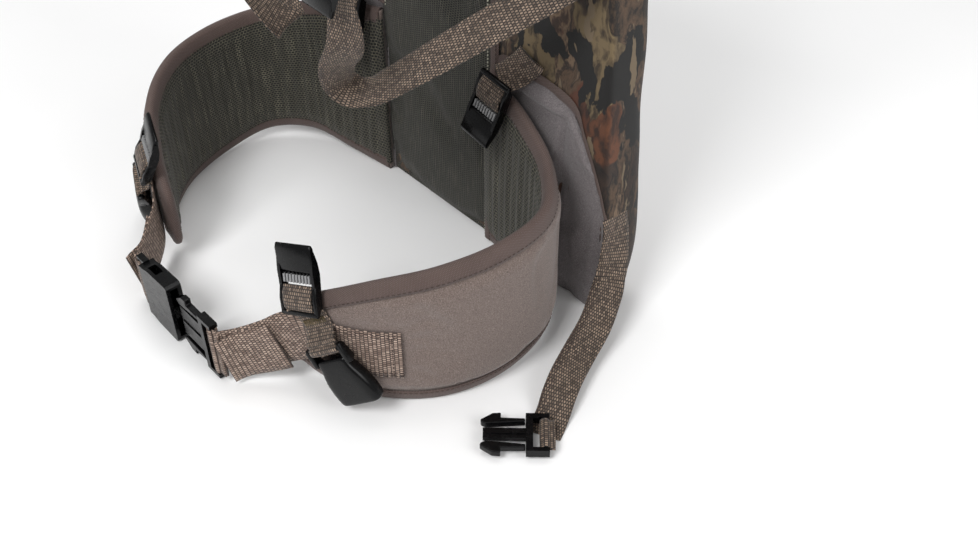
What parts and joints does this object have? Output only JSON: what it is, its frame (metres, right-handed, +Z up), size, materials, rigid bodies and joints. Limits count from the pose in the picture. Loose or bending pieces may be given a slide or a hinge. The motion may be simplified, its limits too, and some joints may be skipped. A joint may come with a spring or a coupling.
{
  "type": "safety harness vest",
  "caption": "Padded safety harness vest with folding hip wings, shoulder pads, side-release clips, ladder locks and a dorsal ring.",
  "frame": {"origin": "centre of the flat hem of the back body, on the surface it stands on", "axes": "+X to the wearer's left, -Y the way the wearer faces, +Z up"},
  "size_m": [0.5388, 0.324, 0.5084],
  "materials": {
    "foam": "closed-cell foam core",
    "camo_fabric": null,
    "back_mesh": "spacer mesh",
    "lining_mesh": "coarse pleated spacer mesh",
    "belt_fabric": "smooth brushed nylon",
    "binding_tape": "grosgrain edge tape",
    "webbing": "woven polyester webbing",
    "harness_webbing": "heavy woven polyester webbing",
    "buckle_plastic": "moulded acetal, glossy",
    "patch_plastic": "moulded, satin",
    "steel": "forged, plated"
  },
  "bodies": {
    "vest": {"back_foam": "foam", "outer_shell": "camo_fabric", "back_mesh": "back_mesh", "side_face_left": "belt_fabric", "side_face_right": "belt_fabric", "root_tape": "binding_tape", "root_pad_left": "belt_fabric", "root_pad_right": "belt_fabric", "root_mesh_left": "lining_mesh", "root_mesh_right": "lining_mesh", "root_binding": "binding_tape", "shoulder_pad_left": "camo_fabric", "shoulder_pad_right": "camo_fabric", "shoulder_mesh_left": "lining_mesh", "shoulder_mesh_right": "lining_mesh", "shoulder_web_left": "webbing", "shoulder_web_right": "webbing", "sling_web_left": "webbing", "sling_web_right": "webbing", "lock_anchors": "webbing", "hip_anchors": "webbing", "harness_web": "harness_webbing", "dorsal_patch": "patch_plastic", "haul_loop": "harness_webbing", "chest_strap": "webbing", "chest_clip": "buckle_plastic"},
    "hip_strap_left": {"hip_strap_left": "webbing"},
    "hip_strap_right": {"hip_strap_right": "webbing"},
    "dorsal_ring": {"dorsal_ring": "steel"},
    "wing_left": {"wing_pad_left": "belt_fabric", "wing_mesh_left": "lining_mesh", "wing_binding_left": "binding_tape", "belt_web_left": "webbing", "lock_stub_left": "webbing", "clip_stub_left": "webbing"},
    "wing_right": {"wing_pad_right": "belt_fabric", "wing_mesh_right": "lining_mesh", "wing_binding_right": "binding_tape", "belt_web_right": "webbing", "lock_stub_right": "webbing", "clip_stub_right": "webbing"},
    "wing_lock_left": {"wing_lock_left": "buckle_plastic"},
    "wing_lock_right": {"wing_lock_right": "buckle_plastic"},
    "side_lock_left": {"side_lock_left": "buckle_plastic"},
    "side_lock_right": {"side_lock_right": "buckle_plastic"},
    "pad_lock_left": {"pad_lock_left": "buckle_plastic"},
    "pad_lock_right": {"pad_lock_right": "buckle_plastic"},
    "clip_female_left": {"clip_female_left": "buckle_plastic"},
    "clip_female_right": {"clip_female_right": "buckle_plastic"},
    "clip_male_left": {"clip_male_left": "buckle_plastic"},
    "clip_male_right": {"clip_male_right": "buckle_plastic"},
    "clip_prong_rear_left": {"clip_prong_rear_left": "buckle_plastic"},
    "clip_prong_front_left": {"clip_prong_front_left": "buckle_plastic"},
    "clip_prong_rear_right": {"clip_prong_rear_right": "buckle_plastic"},
    "clip_prong_front_right": {"clip_prong_front_right": "buckle_plastic"},
    "waist_male": {"waist_male": "buckle_plastic"},
    "waist_female": {"waist_female": "buckle_plastic"},
    "waist_prong_upper": {"waist_prong_upper": "buckle_plastic"},
    "waist_prong_lower": {"waist_prong_lower": "buckle_plastic"}
  },
  "joints": [
    {"name": "wing_left_fold", "type": "hinge", "parent": "vest", "child": "wing_left", "pos_m": [0.182, -0.079, 0], "axis": [0, 0, 1], "range_deg": [0, 75]},
    {"name": "hip_strap_left_swing", "type": "hinge", "parent": "vest", "child": "hip_strap_left", "pos_m": [0.1995, -0.0245, 0.042], "axis": [0, 0, 1], "range_deg": [0, 45]},
    {"name": "wing_lock_left_tilt", "type": "hinge", "parent": "wing_left", "child": "wing_lock_left", "pos_m": [0.10662, -0.23467, 0.086], "axis": [0.9053, 0.337, 0.2585], "range_deg": [-6, 60]},
    {"name": "side_lock_left_tilt", "type": "hinge", "parent": "vest", "child": "side_lock_left", "pos_m": [0.087, -0.039, 0.165], "axis": [-0.9928, 0.0408, 0.1128], "range_deg": [-5, 90]},
    {"name": "pad_lock_left_tilt", "type": "hinge", "parent": "vest", "child": "pad_lock_left", "pos_m": [0.07, -0.1644, 0.313], "axis": [-1, 0, 0], "range_deg": [0, 50]},
    {"name": "clip_female_left_tilt", "type": "hinge", "parent": "wing_left", "child": "clip_female_left", "pos_m": [0.12798, -0.23426, 0.057], "axis": [-0.7482, -0.3937, -0.5341], "range_deg": [-2, 60]},
    {"name": "clip_male_left_tilt", "type": "hinge", "parent": "hip_strap_left", "child": "clip_male_left", "pos_m": [0.255, -0.1445, 0.007], "axis": [-0.7283, 0.6853, 0], "range_deg": [0, 70]},
    {"name": "clip_prong_rear_left_squeeze", "type": "hinge", "parent": "clip_male_left", "child": "clip_prong_rear_left", "pos_m": [0.25385, -0.1625, 0.007], "axis": [0, 0, -1], "range_deg": [0, 5], "stiffness_Nm_per_rad": 0.6},
    {"name": "clip_prong_front_left_squeeze", "type": "hinge", "parent": "clip_male_left", "child": "clip_prong_front_left", "pos_m": [0.2371, -0.14674, 0.007], "axis": [0, 0, 1], "range_deg": [0, 5], "stiffness_Nm_per_rad": 0.6},
    {"name": "wing_right_fold", "type": "hinge", "parent": "vest", "child": "wing_right", "pos_m": [-0.182, -0.079, 0], "axis": [0, 0, -1], "range_deg": [0, 75]},
    {"name": "hip_strap_right_swing", "type": "hinge", "parent": "vest", "child": "hip_strap_right", "pos_m": [-0.1995, -0.0245, 0.042], "axis": [0, 0, -1], "range_deg": [0, 45]},
    {"name": "wing_lock_right_tilt", "type": "hinge", "parent": "wing_right", "child": "wing_lock_right", "pos_m": [-0.10662, -0.23467, 0.086], "axis": [0.9053, -0.337, -0.2585], "range_deg": [-6, 60]},
    {"name": "side_lock_right_tilt", "type": "hinge", "parent": "vest", "child": "side_lock_right", "pos_m": [-0.087, -0.039, 0.165], "axis": [-0.9928, -0.0408, -0.1128], "range_deg": [-5, 90]},
    {"name": "pad_lock_right_tilt", "type": "hinge", "parent": "vest", "child": "pad_lock_right", "pos_m": [-0.07, -0.1644, 0.313], "axis": [-1, 0, 0], "range_deg": [0, 50]},
    {"name": "clip_female_right_tilt", "type": "hinge", "parent": "wing_right", "child": "clip_female_right", "pos_m": [-0.12798, -0.23426, 0.057], "axis": [-0.7482, 0.3937, 0.5341], "range_deg": [-2, 60]},
    {"name": "clip_male_right_tilt", "type": "hinge", "parent": "hip_strap_right", "child": "clip_male_right", "pos_m": [-0.255, -0.1445, 0.007], "axis": [-0.7283, -0.6853, 0], "range_deg": [0, 70]},
    {"name": "clip_prong_rear_right_squeeze", "type": "hinge", "parent": "clip_male_right", "child": "clip_prong_rear_right", "pos_m": [-0.25385, -0.1625, 0.007], "axis": [0, 0, 1], "range_deg": [0, 5], "stiffness_Nm_per_rad": 0.6},
    {"name": "clip_prong_front_right_squeeze", "type": "hinge", "parent": "clip_male_right", "child": "clip_prong_front_right", "pos_m": [-0.2371, -0.14674, 0.007], "axis": [0, 0, -1], "range_deg": [0, 5], "stiffness_Nm_per_rad": 0.6},
    {"name": "waist_male_swing", "type": "hinge", "parent": "wing_left", "child": "waist_male", "pos_m": [0.04975, -0.278, 0.028], "axis": [0, 0, 1], "range_deg": [-35, 35]},
    {"name": "waist_female_swing", "type": "hinge", "parent": "wing_right", "child": "waist_female", "pos_m": [-0.04975, -0.278, 0.028], "axis": [0, 0, -1], "range_deg": [-35, 35]},
    {"name": "waist_prong_upper_squeeze", "type": "hinge", "parent": "waist_male", "child": "waist_prong_upper", "pos_m": [0.03585, -0.278, 0.007], "axis": [0, 1, 0], "range_deg": [0, 5], "stiffness_Nm_per_rad": 0.6},
    {"name": "waist_prong_lower_squeeze", "type": "hinge", "parent": "waist_male", "child": "waist_prong_lower", "pos_m": [0.03585, -0.278, 0.049], "axis": [0, -1, 0], "range_deg": [0, 5], "stiffness_Nm_per_rad": 0.6},
    {"name": "dorsal_ring_swing", "type": "hinge", "parent": "vest", "child": "dorsal_ring", "pos_m": [0, 0.033, 0.352], "axis": [1, 0, 0], "range_deg": [0, 150]}
  ],
  "couplings": [
    {"joint": "hip_strap_left_swing", "follows": "wing_left_fold", "ratio": 0.6},
    {"joint": "clip_prong_front_left_squeeze", "follows": "clip_prong_rear_left_squeeze", "ratio": 1},
    {"joint": "hip_strap_right_swing", "follows": "wing_right_fold", "ratio": 0.6},
    {"joint": "clip_prong_front_right_squeeze", "follows": "clip_prong_rear_right_squeeze", "ratio": 1},
    {"joint": "waist_prong_lower_squeeze", "follows": "waist_prong_upper_squeeze", "ratio": 1}
  ]
}
